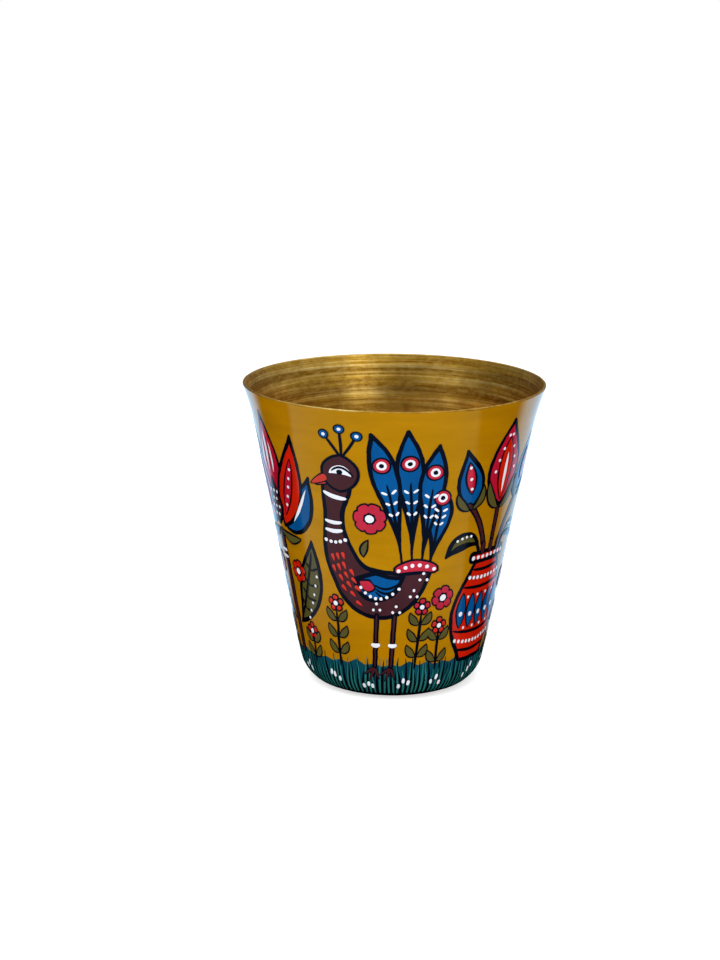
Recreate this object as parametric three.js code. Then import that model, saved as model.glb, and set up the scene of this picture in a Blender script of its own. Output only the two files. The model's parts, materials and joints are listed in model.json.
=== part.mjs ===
// A hand-painted brass tumbler: one spun brass cup, a ground coat of ochre enamel on its
// outer wall, a grass border round the foot, and a frieze of peacocks, flower pots and
// lotus plants. Every painted field is its own thin film of enamel.
// Millimetres, +Z up. The origin is the centre of the foot, on the table.

import * as THREE from "three";
import { LoftGeometry } from "three/addons/geometries/LoftGeometry.js";

// Spun brass cup
const RIM_DIAMETER = 76; // over the opened lip
const HEIGHT = 78;
const FOOT_LINE_DIAMETER = 44; // where the straight wall would meet the table
const WALL = 0.9;
const CORNER_RADIUS = 8.7; // outside round between wall and foot
const LIP_FLARE = 1; // how far the lip opens beyond the straight wall
const FLARE_HEIGHT = 11; // depth of that opening
const FOOT_RING_WIDTH = 5; // flat ring that the cup stands on
const FOOT_RECESS = 0.6; // how far the middle of the bottom is pushed up
const RECESS_SLOPE = 2; // width of the step from ring to recess

// Enamel
const COAT = 0.1; // ground coat
const COAT_GAP = 0.02;
const LIP_MARGIN = 0.2; // bare brass left under the rounding of the lip
const FOOT_MARGIN = 1.5; // bare brass left above the table
const FILM = 0.08; // one painted field
const FILM_GAP = 0.11; // between one layer of paint and the next
const BRUSH_TIP = 0.3; // half-width of a stroke where it runs out

// Grass border
const GRASS_HEIGHT = 9.5; // notches between the blades, above the table
const BLADE_HEIGHT = 3.5; // tallest blade above the notches
const BLADES = 34;

// The painter squares the frieze up into panels, and each motif is drawn on those squares,
// which are about a millimetre each. x runs right from a panel's middle line, y runs up.
const SQUARES_WIDE = 32;
const SQUARES_HIGH = 68;
const FRIEZE_MARGIN = 2; // plain ground left above the frieze, in millimetres
const FRONT_ANGLE = THREE.MathUtils.degToRad(-96); // middle of the first panel

// Peacock, in squares
const BIRD_BODY_HALF_WIDTH = 6.8;
const BIRD_NECK_HALF_WIDTH = 2.9;
const BIRD_HEAD_HALF_WIDTH = 3.9;
const BIRD_WING_HALF_WIDTH = 4.3;
const BIRD_BEAK_HALF_WIDTH = 1.3;
const BIRD_LEG_HALF_WIDTH = 0.8;
const FEATHER_HALF_WIDTH = 3.4;

// Flower pot, in squares
const POT_HEIGHT = 27.5;
const POT_HALF_WIDTH = 11.5;
const POT_FOOT_HALF_WIDTH = 6;
const POT_NECK_HALF_WIDTH = 5.4;
const POT_LIP_HALF_LENGTH = 7.6;
const POT_LIP_HALF_WIDTH = 1.6;
const TALL_BUD_HALF_WIDTH = 6;
const SIDE_BUD_HALF_WIDTH = 4;
const POT_LEAF_HALF_WIDTH = 2.6;
const TWIG_HALF_WIDTH = 0.9;

// Lotus plant, in squares
const STEM_HEIGHT = 33.5;
const STEM_HALF_WIDTH = 1.4;
const LOTUS_LEAF_HALF_WIDTH = 4.7;
const CENTRE_PETAL_HALF_WIDTH = 6.2;
const MIDDLE_PETAL_HALF_WIDTH = 4.8;
const OUTER_PETAL_HALF_WIDTH = 4.2;
const LOTUS_HEART_HALF_WIDTH = 3.8;
const STROKE_CLEARANCE = 0.6; // ground left between a stem and the leaf beside it

// Facets
const SEGMENTS = 48; // round the cup and its ground coat
const CORNER_STEPS = 3;
const FLARE_STEPS = 3;
const LIP_STEPS = 4;
const TIP_CROWDING = 0.25; // share by which the facets draw closer at both ends of a spine

const lipRadius = WALL / 2;
const lipHeight = HEIGHT - lipRadius; // where the rounding of the lip begins
const flareFoot = lipHeight - FLARE_HEIGHT;
const footLine = FOOT_LINE_DIAMETER / 2;
const lean = Math.atan2(RIM_DIAMETER / 2 - LIP_FLARE - footLine, lipHeight);
const cornerCentre = footLine - (CORNER_RADIUS * (1 - Math.sin(lean))) / Math.cos(lean);
const coatTop = lipHeight - LIP_MARGIN;
const coatStart = Math.asin((FOOT_MARGIN - CORNER_RADIUS) / CORNER_RADIUS); // angle on the corner
const coatOuter = COAT_GAP + COAT;
const friezeFoot = CORNER_RADIUS * (1 - Math.sin(lean));
const friezeTop = coatTop - FRIEZE_MARGIN;
const standing = ((GRASS_HEIGHT - friezeFoot) / (friezeTop - friezeFoot)) * SQUARES_HIGH; // on the grass

// Radius of the outer wall at a height, moved out by an offset along the wall's normal.
function wallRadius(z, offset = 0) {
  const opening = Math.max(0, z - flareFoot) / FLARE_HEIGHT;
  return footLine + z * Math.tan(lean) + offset / Math.cos(lean) + LIP_FLARE * opening ** 2;
}

function cornerPoint(angle, offset) {
  const radius = CORNER_RADIUS + offset;
  return new THREE.Vector2(
    cornerCentre + radius * Math.cos(angle),
    CORNER_RADIUS + radius * Math.sin(angle),
  );
}

// The round between foot and wall, from where the paint begins up to where it meets the wall.
function paintedCorner(offset) {
  return Array.from({ length: CORNER_STEPS + 1 }, (_, i) =>
    cornerPoint(THREE.MathUtils.lerp(coatStart, -lean, i / CORNER_STEPS), offset),
  );
}

// The rest of that round, from the flat foot up to where the paint begins.
function bareCorner(offset) {
  return [-Math.PI / 2, (coatStart - Math.PI / 2) / 2].map((angle) => cornerPoint(angle, offset));
}

// The opened lip, from the top of the straight wall to the top of the paint.
function flareLine(offset) {
  return Array.from({ length: FLARE_STEPS + 1 }, (_, i) => {
    const z = THREE.MathUtils.lerp(flareFoot, coatTop, i / FLARE_STEPS);
    return new THREE.Vector2(wallRadius(z, offset), z);
  });
}

function revolve(profile) {
  return new THREE.LatheGeometry(profile, SEGMENTS).rotateX(Math.PI / 2);
}

function cupGeometry() {
  const ringInner = cornerCentre - FOOT_RING_WIDTH;
  const recessRadius = ringInner - RECESS_SLOPE;
  const lipCentre = wallRadius(lipHeight, -lipRadius);
  const side = (offset) => [...bareCorner(offset), ...paintedCorner(offset), ...flareLine(offset)];
  const lip = Array.from({ length: LIP_STEPS + 1 }, (_, i) => {
    const angle = (Math.PI * i) / LIP_STEPS;
    return new THREE.Vector2(
      lipCentre + lipRadius * Math.cos(angle),
      lipHeight + lipRadius * Math.sin(angle),
    );
  });
  return revolve([
    new THREE.Vector2(0, FOOT_RECESS),
    new THREE.Vector2(recessRadius, FOOT_RECESS),
    new THREE.Vector2(ringInner, 0),
    ...side(0),
    ...lip,
    ...side(-WALL).reverse(),
    new THREE.Vector2(ringInner, WALL),
    new THREE.Vector2(recessRadius, WALL + FOOT_RECESS),
    new THREE.Vector2(0, WALL + FOOT_RECESS),
  ]);
}

function coatGeometry() {
  const skin = (offset) => [...paintedCorner(offset), ...flareLine(offset)];
  const outside = skin(coatOuter);
  return revolve([...outside, ...skin(COAT_GAP).reverse(), outside[0]]);
}

// Offsets of a painted layer's inner and outer skins from the bare wall. Layer 1 lies on the coat.
function layerOffsets(layer) {
  const inner = coatOuter + FILM_GAP + (layer - 1) * (FILM + FILM_GAP);
  return { inner, outer: inner + FILM };
}

// The border is a ring of blades: its top edge climbs to a tip and drops to a notch in turn.
function grassGeometry() {
  const { inner, outer } = layerOffsets(1);
  const columns = 2 * BLADES;
  const topAt = (k) => {
    if (k % 2 === 0) return GRASS_HEIGHT;
    const unevenness = 0.75 + 0.25 * Math.sin(k * 1.7) * Math.cos(k * 0.6);
    return GRASS_HEIGHT + BLADE_HEIGHT * unevenness;
  };
  const sections = [];
  for (let k = 0; k <= columns; k++) {
    const angle = (2 * Math.PI * (k % columns)) / columns;
    const top = topAt(k % columns);
    const side = (offset) => [
      ...paintedCorner(offset),
      new THREE.Vector2(wallRadius(top, offset), top),
    ];
    sections.push(
      [...side(outer).reverse(), ...side(inner)].map(
        (p) => new THREE.Vector3(p.x * Math.cos(angle), p.x * Math.sin(angle), p.y),
      ),
    );
  }
  return new LoftGeometry(sections);
}

// The frieze in order round the wall, one motif to a panel.
const frieze = [
  (panel) => addPeacock("front_peacock", panel, 1),
  (panel) => addFlowerPot("right_flowers", panel),
  (panel) => addLotus("right_lotus", panel, { centre: blue, middle: red, outer: crimson }),
  (panel) => addPeacock("back_peacock", panel, -1),
  (panel) => addFlowerPot("left_flowers", panel),
  (panel) => addLotus("left_lotus", panel, { centre: crimson, middle: red, outer: blue }),
];
const squareAngle = (2 * Math.PI) / frieze.length / SQUARES_WIDE;

// A flat facet dips below the round wall that it lies on. This is the longest, in squares and
// either way across its slope, that stays within the gap between two layers of paint.
const facet = Math.sqrt((4 * FILM_GAP) / wallRadius(friezeTop)) / squareAngle;

// A place on the wall, from squares of a panel.
function wallPoint(square, panel, offset) {
  const angle = FRONT_ANGLE + (panel * SQUARES_WIDE + square.x) * squareAngle;
  const z = THREE.MathUtils.lerp(friezeFoot, friezeTop, square.y / SQUARES_HIGH);
  const r = wallRadius(z, offset);
  return new THREE.Vector3(r * Math.cos(angle), r * Math.sin(angle), z);
}

// One painted field: a film lofted along a spine, as wide at each share of the spine's length
// as the half-width function says, laid round the wall in its layer, and thinned out to nothing
// at both ends.
function paintFilm(spine, halfWidth, panel, layer) {
  const { inner, outer } = layerOffsets(layer);
  const halfAt = (s) => Math.max(halfWidth(s), BRUSH_TIP);
  const squareAt = (s, across) => {
    const along = spine.getTangentAt(s);
    return new THREE.Vector2(along.y, -along.x).multiplyScalar(across * halfAt(s)).add(spine.getPointAt(s));
  };
  const samples = Array.from({ length: 33 }, (_, i) => i / 32);
  const edgeLength = (across) => {
    const edge = samples.map((s) => squareAt(s, across));
    return edge.slice(1).reduce((sum, square, i) => sum + square.distanceTo(edge[i]), 0);
  };

  const rows = Math.ceil(((1 + TIP_CROWDING) * Math.max(edgeLength(-1), edgeLength(1))) / facet);
  const columns = Math.ceil((2 * Math.max(...samples.map(halfAt))) / facet);
  const sections = Array.from({ length: rows + 1 }, (_, i) => {
    const share = i / rows - (TIP_CROWDING * Math.sin((2 * Math.PI * i) / rows)) / (2 * Math.PI);
    const edge = (offset) =>
      Array.from({ length: columns + 1 }, (_, j) =>
        wallPoint(squareAt(share, (2 * j) / columns - 1), panel, offset),
      );
    const end = i === 0 || i === rows;
    return [...edge(end ? inner : outer), ...edge(inner).reverse()];
  });
  return new LoftGeometry(sections);
}

// Half-width functions of a brush: where along the stroke it is pressed hardest.
const spindle = (half) => (s) => half * Math.sin(Math.PI * s);
const bud = (half) => (s) => half * Math.sin(Math.PI * s ** 0.75);
const feather = (half) => (s) => half * Math.sin(Math.PI * s ** 1.9);
const stroke = (half) => () => half;
const silhouette = (halves) => {
  const curve = new THREE.SplineCurve(halves.map((half, i) => new THREE.Vector2(i, half)));
  return (s) => curve.getPoint(s).y;
};

function enamel(color) {
  return new THREE.MeshStandardMaterial({ color, roughness: 0.25, metalness: 0 });
}

const brass = new THREE.MeshStandardMaterial({ color: 0xb08a3e, roughness: 0.35, metalness: 1 });
const ochre = enamel(0xb57f08);
const green = enamel(0x0d5450);
const brown = enamel(0x46303a);
const blue = enamel(0x0a5aa5);
const red = enamel(0xcb3f2a);
const crimson = enamel(0xb52f49);
const olive = enamel(0x57543a);

const tumbler = new THREE.Group();

function add(name, geometry, material) {
  const mesh = new THREE.Mesh(geometry, material);
  mesh.name = name;
  tumbler.add(mesh);
}

const point = (x, y) => new THREE.Vector2(x, y);
const line = (from, to) => new THREE.LineCurve(from, to);
const bend = (from, pull, to) => new THREE.QuadraticBezierCurve(from, pull, to);

// A peacock standing on the grass with its tail raised. It faces left, or right where facing is -1.
function addPeacock(name, panel, facing) {
  const at = (x, y) => point(facing * x, y);
  const film = (spine, halfWidth, layer) => paintFilm(spine, halfWidth, panel, layer);

  const back = new THREE.CubicBezierCurve(at(14, 30), at(-4, 12), at(-18, 30), at(-8, 56));
  const build = silhouette([
    BRUSH_TIP,
    0.5 * BIRD_BODY_HALF_WIDTH,
    0.88 * BIRD_BODY_HALF_WIDTH,
    BIRD_BODY_HALF_WIDTH,
    0.97 * BIRD_BODY_HALF_WIDTH,
    0.75 * BIRD_BODY_HALF_WIDTH,
    1.5 * BIRD_NECK_HALF_WIDTH,
    1.05 * BIRD_NECK_HALF_WIDTH,
    BIRD_NECK_HALF_WIDTH,
    BIRD_HEAD_HALF_WIDTH,
    0.5 * BIRD_HEAD_HALF_WIDTH,
  ]);
  add(`${name}_body`, film(back, build, 1), brown);
  add(`${name}_wing`, film(bend(at(-7, 27), at(0, 22), at(6.5, 28)), bud(BIRD_WING_HALF_WIDTH), 2), blue);
  add(`${name}_beak`, film(line(at(-9.5, 53), at(-15.5, 50.5)), bud(BIRD_BEAK_HALF_WIDTH), 2), red);

  const tips = [at(14.5, 51), at(13, 62), at(6, 66), at(-1.5, 65)];
  const roots = [at(12.5, 29), at(10.5, 29.5), at(8.2, 30), at(5.8, 30)];
  tips.forEach((tip, i) => {
    const pull = at(facing * roots[i].x + 2.5 - 1.5 * i, 46);
    const quill = bend(roots[i], pull, tip);
    add(`${name}_tail_feather_${i + 1}`, film(quill, feather(FEATHER_HALF_WIDTH), 2 + (i % 2)), blue);
  });

  const hips = [at(-1, 18), at(4, 18)];
  hips.forEach((hip, i) => {
    const leg = line(hip, at(facing * hip.x - 1, standing));
    add(`${name}_leg_${i + 1}`, film(leg, stroke(BIRD_LEG_HALF_WIDTH), 2), brown);
  });
}

// A round-bellied pot on the grass, holding a tall bud between two lower ones.
function addFlowerPot(name, panel) {
  const film = (spine, halfWidth, layer) => paintFilm(spine, halfWidth, panel, layer);
  const mouth = standing + POT_HEIGHT;
  const lipMiddle = mouth + POT_LIP_HALF_WIDTH / 2;
  const aboveLip = lipMiddle + POT_LIP_HALF_WIDTH + STROKE_CLEARANCE;

  const belly = silhouette([
    POT_FOOT_HALF_WIDTH,
    0.88 * POT_HALF_WIDTH,
    POT_HALF_WIDTH,
    0.8 * POT_HALF_WIDTH,
    POT_NECK_HALF_WIDTH,
  ]);
  add(`${name}_pot`, film(line(point(0, standing), point(0, mouth)), belly, 2), red);
  const lip = line(point(-POT_LIP_HALF_LENGTH, lipMiddle), point(POT_LIP_HALF_LENGTH, lipMiddle));
  add(`${name}_pot_lip`, film(lip, stroke(POT_LIP_HALF_WIDTH), 3), red);

  const middleTwig = line(point(0, aboveLip), point(0, 48));
  add(`${name}_middle_twig`, film(middleTwig, stroke(TWIG_HALF_WIDTH), 2), brown);
  add(`${name}_tall_bud`, film(line(point(0, 43.5), point(0, 66)), bud(TALL_BUD_HALF_WIDTH), 3), crimson);

  for (const [side, way] of Object.entries({ left: -1, right: 1 })) {
    const at = (x, y) => point(way * x, y);
    const twig = bend(at(3, aboveLip), at(6, 42), at(10.5, 46));
    add(`${name}_${side}_twig`, film(twig, stroke(TWIG_HALF_WIDTH), 2), brown);
    const sideBud = bend(at(9.5, 44), at(10, 52), at(12.5, 60));
    add(`${name}_${side}_bud`, film(sideBud, bud(SIDE_BUD_HALF_WIDTH), 1), blue);
    const leaf = bend(at(5, aboveLip + 1), at(10.5, aboveLip + 6), at(15, aboveLip - 1));
    add(`${name}_${side}_leaf`, film(leaf, spindle(POT_LEAF_HALF_WIDTH), 1), olive);
  }
}

// A lotus on a straight stem, with a broad leaf on each side.
function addLotus(name, panel, petalPaints) {
  const film = (spine, halfWidth, layer) => paintFilm(spine, halfWidth, panel, layer);
  const stemTop = standing + STEM_HEIGHT;
  const seat = stemTop + STROKE_CLEARANCE;

  add(`${name}_stem`, film(line(point(0, standing), point(0, stemTop)), stroke(STEM_HALF_WIDTH), 2), brown);
  const centrePetal = line(point(0, seat), point(0, 66));
  add(`${name}_centre_petal`, film(centrePetal, bud(CENTRE_PETAL_HALF_WIDTH), 1), petalPaints.centre);
  add(`${name}_heart`, film(line(point(0, seat), point(0, 49)), bud(LOTUS_HEART_HALF_WIDTH), 3), brown);

  for (const [side, way] of Object.entries({ left: -1, right: 1 })) {
    const at = (x, y) => point(way * x, y);
    const leaf = bend(at(STEM_HALF_WIDTH + STROKE_CLEARANCE, 11), at(11, 17), at(13, 35));
    add(`${name}_${side}_leaf`, film(leaf, spindle(LOTUS_LEAF_HALF_WIDTH), 1), olive);
    const middlePetal = bend(at(2.5, seat), at(8, 44), at(11, 62));
    const middleWidth = bud(MIDDLE_PETAL_HALF_WIDTH);
    add(`${name}_${side}_middle_petal`, film(middlePetal, middleWidth, 2), petalPaints.middle);
    const outerPetal = bend(at(3.5, seat), at(11.5, 39), at(14.8, 52));
    const outerWidth = bud(OUTER_PETAL_HALF_WIDTH);
    add(`${name}_${side}_outer_petal`, film(outerPetal, outerWidth, 1), petalPaints.outer);
  }
}

add("brass_cup", cupGeometry(), brass);
add("ground_coat", coatGeometry(), ochre);
add("grass_border", grassGeometry(), green);

frieze.forEach((paintMotif, panel) => paintMotif(panel));

export default tumbler;
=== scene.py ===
# %% [markdown]
# # A hand-painted brass tumbler
# The tumbler is one cup, spun from a disc of brass on a lathe. A painter coats the outside with ochre
# enamel, and paints a frieze of peacocks, flower pots and lotus plants over it, above a border of grass.
# This lesson dresses the measured model of that cup: smooth spun metal, brushed paint, ink-like outlines
# and rows of white dots.

# %% Load the measured model
import json
import math
import random

import bpy
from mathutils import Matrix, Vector, kdtree, noise


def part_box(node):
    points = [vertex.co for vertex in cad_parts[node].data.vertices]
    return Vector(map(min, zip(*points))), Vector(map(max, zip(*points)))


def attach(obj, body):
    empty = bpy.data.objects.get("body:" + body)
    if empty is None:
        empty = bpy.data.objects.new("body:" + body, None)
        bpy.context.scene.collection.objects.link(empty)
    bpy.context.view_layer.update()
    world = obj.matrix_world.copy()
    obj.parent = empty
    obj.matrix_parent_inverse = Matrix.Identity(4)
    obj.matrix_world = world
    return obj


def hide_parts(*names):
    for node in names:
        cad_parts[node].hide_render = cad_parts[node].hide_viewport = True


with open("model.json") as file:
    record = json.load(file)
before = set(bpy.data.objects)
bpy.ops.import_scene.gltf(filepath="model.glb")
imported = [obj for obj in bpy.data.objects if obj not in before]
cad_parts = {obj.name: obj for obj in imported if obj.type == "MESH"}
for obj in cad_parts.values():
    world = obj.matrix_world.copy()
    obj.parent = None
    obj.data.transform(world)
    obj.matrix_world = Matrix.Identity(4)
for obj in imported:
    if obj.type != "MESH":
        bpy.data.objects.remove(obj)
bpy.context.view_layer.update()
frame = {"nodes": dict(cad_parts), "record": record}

# %% [markdown]
# ## Sizes
# Lengths are in metres, so a millimetre gets a name. The cup's height comes from the measured model. The
# rest of its profile is a straight wall between a rounded corner at the foot and a slightly opened lip, and
# the same few sizes describe it here as in the model.

# %% Profile of the cup
MM = 0.001
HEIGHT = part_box("brass_cup")[1].z
RIM_RADIUS = 38 * MM
FOOT_LINE_RADIUS = 22 * MM
WALL = 0.9 * MM
CORNER_RADIUS = 8.7 * MM
LIP_FLARE = 1 * MM
FLARE_HEIGHT = 11 * MM
FOOT_RING_WIDTH = 5 * MM
FOOT_RECESS = 0.6 * MM
RECESS_SLOPE = 2 * MM
LIP_MARGIN = 0.2 * MM
FOOT_MARGIN = 1.5 * MM

lip_height = HEIGHT - WALL / 2
flare_foot = lip_height - FLARE_HEIGHT
coat_top = lip_height - LIP_MARGIN
lean = math.atan2(RIM_RADIUS - LIP_FLARE - FOOT_LINE_RADIUS, lip_height)
corner_centre = FOOT_LINE_RADIUS - CORNER_RADIUS * (1 - math.sin(lean)) / math.cos(lean)
corner_top = CORNER_RADIUS * (1 - math.sin(lean))
coat_start = math.asin((FOOT_MARGIN - CORNER_RADIUS) / CORNER_RADIUS)


def wall_radius(z, offset=0.0):
    """Radius of the outer wall at a height, moved out by an offset."""
    opening = max(0.0, z - flare_foot) / FLARE_HEIGHT
    return FOOT_LINE_RADIUS + z * math.tan(lean) + offset / math.cos(lean) + LIP_FLARE * opening ** 2


def corner_point(angle, offset=0.0):
    """A place on the round between foot and wall, as radius and height."""
    radius = CORNER_RADIUS + offset
    return corner_centre + radius * math.cos(angle), CORNER_RADIUS + radius * math.sin(angle)


def steps(start, end, count):
    return [start + (end - start) * i / count for i in range(count + 1)]


def corner_arc(start, offset, count):
    return [corner_point(angle, offset) for angle in steps(start, -lean, count)]


def wall_line(top, offset, count):
    """The straight wall and the opened lip, from just above the corner up to a top height."""
    return [(wall_radius(z, offset), z) for z in steps(corner_top, top, count)[1:]]


print("lean of the wall:", round(math.degrees(lean), 2), "degrees")

# %% [markdown]
# ## Camera
# The photograph looks down on the rim a little, from about half a metre away. The tumbler sits right of
# the middle of the picture and below it, so the lens is shifted, as the back of a view camera is.

# %% Place the camera
PICTURE_HEIGHT = 960  # pixels
PICTURE_RIGHT = 32.8  # pixels from the middle of the picture
PICTURE_DOWN = 50.5
CAMERA_DISTANCE = 575.1 * MM
CAMERA_ELEVATION = math.radians(14.98)
CAMERA_ROLL = math.radians(0.63)
LENS = 84.17

middle = Vector((0, 0, HEIGHT / 2))
back_off = Vector((0, -math.cos(CAMERA_ELEVATION), math.sin(CAMERA_ELEVATION)))
bpy.ops.object.camera_add(location=middle + CAMERA_DISTANCE * back_off)
camera = bpy.context.object
camera.name = "camera"
camera.rotation_euler = (math.pi / 2 - CAMERA_ELEVATION, 0, 0)
camera.rotation_euler.rotate_axis("Z", CAMERA_ROLL)
camera.data.lens = LENS
camera.data.shift_x = -PICTURE_RIGHT / PICTURE_HEIGHT
camera.data.shift_y = PICTURE_DOWN / PICTURE_HEIGHT
camera.data.clip_start = 10 * MM
scene = bpy.context.scene
scene.camera = camera
print("camera at", tuple(round(v, 3) for v in camera.location))

# %% [markdown]
# ## Node helpers
# Sky, floor, metal and paint are all built from the same few shader nodes. Each helper adds one of them and
# gives back its result. A value that goes in is a plain number or the result of another node.

# %% Helpers for sums and switches


def plug(tree, value, socket):
    """Links a node's result to a socket, or sets the socket to a plain value."""
    if isinstance(value, bpy.types.NodeSocket):
        tree.links.new(value, socket)
    else:
        socket.default_value = value


def add_math(tree, operation, first, second):
    node = tree.nodes.new("ShaderNodeMath")
    node.operation = operation
    plug(tree, first, node.inputs[0])
    plug(tree, second, node.inputs[1])
    return node.outputs["Value"]


def add_vector_math(tree, operation, vector, other=None, result="Vector"):
    node = tree.nodes.new("ShaderNodeVectorMath")
    node.operation = operation
    tree.links.new(vector, node.inputs[0])
    if other is not None:
        node.inputs[1].default_value = other
    return node.outputs[result]


def add_length(tree, vector):
    return add_vector_math(tree, "LENGTH", vector, result="Value")


def split_axes(tree, vector):
    """The X, Y and Z of a vector."""
    node = tree.nodes.new("ShaderNodeSeparateXYZ")
    tree.links.new(vector, node.inputs[0])
    return node.outputs["X"], node.outputs["Y"], node.outputs["Z"]


def join_axes(tree, x, y, z):
    node = tree.nodes.new("ShaderNodeCombineXYZ")
    for socket, value in zip(node.inputs, (x, y, z)):
        plug(tree, value, socket)
    return node.outputs["Vector"]


def add_rise(tree, value, low, high, from_value, to_value):
    """A value that goes smoothly from one level to another while its input goes from low to high."""
    rise = tree.nodes.new("ShaderNodeMapRange")
    rise.interpolation_type = "SMOOTHSTEP"
    rise.inputs["From Min"].default_value = low
    rise.inputs["From Max"].default_value = high
    rise.inputs["To Min"].default_value = from_value
    rise.inputs["To Max"].default_value = to_value
    tree.links.new(value, rise.inputs["Value"])
    return rise.outputs["Result"]


def add_side(tree, direction, side, edge, core, level):
    """Light on one side of the room, in full within a core angle of it and gone beyond an edge angle."""
    facing = add_vector_math(tree, "DOT_PRODUCT", direction, side, "Value")
    return add_rise(tree, facing, math.cos(math.radians(edge)), math.cos(math.radians(core)), 0, level)


def add_choice(tree, switch, off, on):
    """A value that is one thing while a switch is off, and another while it is on."""
    choice = tree.nodes.new("ShaderNodeMix")
    tree.links.new(switch, choice.inputs["Factor"])
    plug(tree, off, choice.inputs["A"])
    plug(tree, on, choice.inputs["B"])
    return choice.outputs["Result"]


# %% [markdown]
# ## Studio
# The tumbler stands on white, with white behind it. Brass and glossy paint mirror the rest of the room, and
# the picture doesn't show that. So the sky is white to the camera, an even fill to plain light, and a dim
# room to mirrored light. The room is lighter on the right than on the left, bright overhead, darkest behind
# the cup and behind the camera, and has a pale wall in front on the left.

# %% Sky
FILL_LIGHT = 0.5
LEFT_LIGHT = 0.22
RIGHT_LIGHT = 0.48
SIDEWAYS_REACH = 0.9  # in shares of straight left and straight right
CEILING_LIGHT = 0.9
CEILING_EDGE = 0.35  # in shares of straight up
CEILING_CORE = 0.75
BACK_SIDE = Vector((0.14, 0.99, 0))  # straight behind the cup, and a little to the right
CAMERA_SIDE = Vector((-0.1, -0.99, 0.1))
PALE_WALL_SIDE = Vector((-0.72, -0.68, 0.12))
ROOM_SIDES = (  # each side, the angles where its light ends and is in full, and how much it adds
    (BACK_SIDE, 47, 33, -0.22),
    (CAMERA_SIDE, 30, 8, -0.3),
    (PALE_WALL_SIDE, 26, 8, 0.6),
)

scene.view_settings.view_transform = "Standard"
world = bpy.data.worlds.new("white_studio")
scene.world = world
world.use_nodes = True
world.cycles.sampling_method = "NONE"
sky = world.node_tree
background = sky.nodes["Background"]
background.inputs["Color"].default_value = (1, 1, 1, 1)
ray = sky.nodes.new("ShaderNodeLightPath")
direction = sky.nodes.new("ShaderNodeTexCoord").outputs["Generated"]
rightwards, _, upwards = split_axes(sky, direction)
room = add_rise(sky, rightwards, -SIDEWAYS_REACH, SIDEWAYS_REACH, LEFT_LIGHT, RIGHT_LIGHT)
ceiling = add_rise(sky, upwards, CEILING_EDGE, CEILING_CORE, 0, CEILING_LIGHT)
room = add_math(sky, "ADD", room, ceiling)
for side, edge, core, level in ROOM_SIDES:
    room = add_math(sky, "ADD", room, add_side(sky, direction, side, edge, core, level))
strength = add_choice(sky, ray.outputs["Is Glossy Ray"], FILL_LIGHT, room)
strength = add_choice(sky, ray.outputs["Is Camera Ray"], strength, 1)
sky.links.new(strength, background.inputs["Strength"])
print("sky: white to the camera, and a dim room to mirrored light")

# %% [markdown]
# The floor is white card. A little light of its own, which only the camera sees, lifts it to the white of
# the picture, and the shadow under the foot stays. The paint mirrors the floor more than the sky, and white
# card would grey every colour. So to mirrored light the floor is dark, with two lit sides. The bluish one
# behind the cup draws the pale bands down both edges, and the one in front ends in upright lines, as a
# window's reflection does.

# %% Floor
FLOOR_SIZE = 6.0
FLOOR_LIFT = 0.62
CARD_GREY = 0.9
CARD_ROUGHNESS = 0.9
CARD_SHINE = 0.1
DARK_REACH = 35 * MM  # from the middle of the foot to where the lit sides begin
LIT_REACH = 80 * MM
FRONT_SIDE = Vector((-0.16, -0.99, 0))  # in front of the cup, and a little to the left
FLOOR_SIDES = (  # each side, the angles where its light ends and is in full, its light and its colour
    (BACK_SIDE, 64, 48, 1.7, (0.42, 0.7, 1, 1)),
    (FRONT_SIDE, 80, 74, 1.0, (0.7, 0.86, 1, 1)),
)

bpy.ops.object.select_all(action="DESELECT")
bpy.ops.mesh.primitive_plane_add(size=FLOOR_SIZE)
floor = bpy.context.object
floor.name = "white_floor"
card = bpy.data.materials.new("white_card")
card.use_nodes = True
card.cycles.emission_sampling = "NONE"
tree = card.node_tree
paper = tree.nodes["Principled BSDF"]
paper.inputs["Base Color"].default_value = (CARD_GREY, CARD_GREY, CARD_GREY, 1)
paper.inputs["Roughness"].default_value = CARD_ROUGHNESS
paper.inputs["Specular IOR Level"].default_value = CARD_SHINE
paper.inputs["Emission Color"].default_value = (1, 1, 1, 1)
ray = tree.nodes.new("ShaderNodeLightPath")
lift = add_choice(tree, ray.outputs["Is Camera Ray"], 0, FLOOR_LIFT)
tree.links.new(lift, paper.inputs["Emission Strength"])

# %% What the paint mirrors of the floor
spot = tree.nodes.new("ShaderNodeTexCoord").outputs["Object"]
distance = add_length(tree, spot)
way = add_vector_math(tree, "NORMALIZE", spot)
clear_of_foot = add_rise(tree, distance, DARK_REACH, LIT_REACH, 0, 1)
mirrored = tree.nodes.new("ShaderNodeAddShader")
for socket, (side, edge, core, level, colour) in zip(mirrored.inputs, FLOOR_SIDES):
    light = add_side(tree, way, side, edge, core, level)
    glow = tree.nodes.new("ShaderNodeEmission")
    glow.inputs["Color"].default_value = colour
    tree.links.new(add_math(tree, "MULTIPLY", clear_of_foot, light), glow.inputs["Strength"])
    tree.links.new(glow.outputs["Emission"], socket)
seen = tree.nodes.new("ShaderNodeMixShader")
tree.links.new(ray.outputs["Is Glossy Ray"], seen.inputs["Fac"])
tree.links.new(paper.outputs["BSDF"], seen.inputs[1])
tree.links.new(mirrored.outputs["Shader"], seen.inputs[2])
tree.links.new(seen.outputs["Shader"], tree.nodes["Material Output"].inputs["Surface"])
floor.data.materials.append(card)
print("floor:", FLOOR_SIZE, "m of white card, with", len(FLOOR_SIDES), "lit sides to mirrored light")

# %% [markdown]
# A broad soft box above the camera does most of the lighting. A window to the right of the camera is there
# for the brass: mirrored inside the cup, it draws the brighter of two upright stripes.

# %% Lamps


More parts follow.
